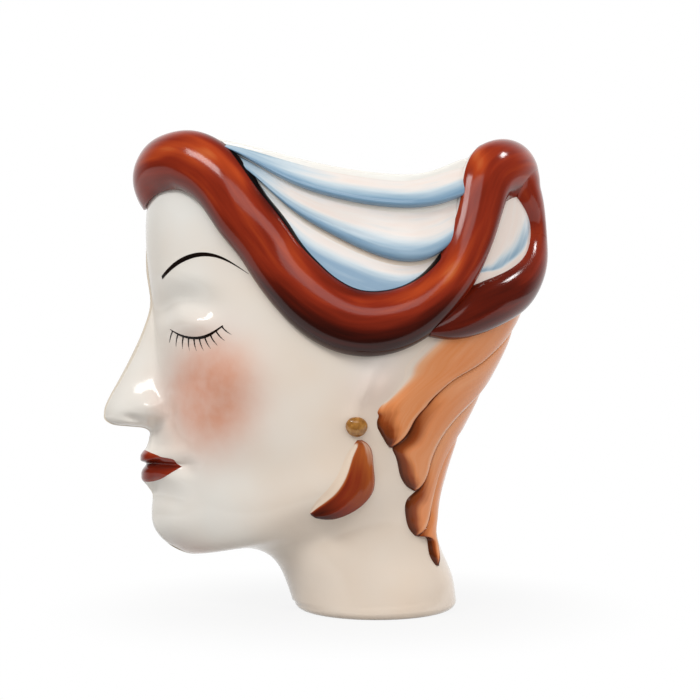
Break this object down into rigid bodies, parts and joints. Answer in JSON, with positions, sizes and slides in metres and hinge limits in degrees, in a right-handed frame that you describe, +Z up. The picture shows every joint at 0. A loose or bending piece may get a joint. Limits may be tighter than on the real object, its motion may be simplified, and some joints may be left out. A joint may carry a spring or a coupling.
{
  "type": "wall pocket vase",
  "caption": "Flat-backed glazed wall vase shaped as a lady's head in profile, with a rolled turban brim, side loop, waved hair locks and an earring, open at the top.",
  "frame": {"origin": "on the flat back that goes against the wall, midway along the head and about half way up it", "axes": "+X towards the back of the head, so the face looks along -X; +Y into the wall; +Z up"},
  "size_m": [0.2159, 0.067, 0.2285],
  "materials": {
    "ivory_glaze": "glossy ivory glaze over slip-cast earthenware, hand painted",
    "bisque_back": "thinly glazed, nearly matt biscuit earthenware",
    "mahogany_glaze": "glossy streaked mahogany red glaze",
    "turban_glaze": "glossy white glaze shaded with sky blue",
    "terracotta_glaze": "glossy terracotta glaze with brown tips",
    "old_gold_glaze": "mottled old gold glaze",
    "rust_glaze": "glossy rust glaze, darker at the tip"
  },
  "bodies": {
    "root": {"vase_body": "ivory_glaze", "back_plate": "bisque_back", "brim_roll": "mahogany_glaze", "back_loop": "mahogany_glaze", "loop_cloth": "turban_glaze", "turban_fold_upper": "turban_glaze", "turban_fold_middle": "turban_glaze", "turban_fold_lower": "turban_glaze", "hair_lock_front": "terracotta_glaze", "hair_lock_second": "terracotta_glaze", "hair_lock_third": "terracotta_glaze", "hair_lock_rear": "terracotta_glaze", "earring_bead": "old_gold_glaze", "earring_drop": "rust_glaze"}
  },
  "joints": []
}
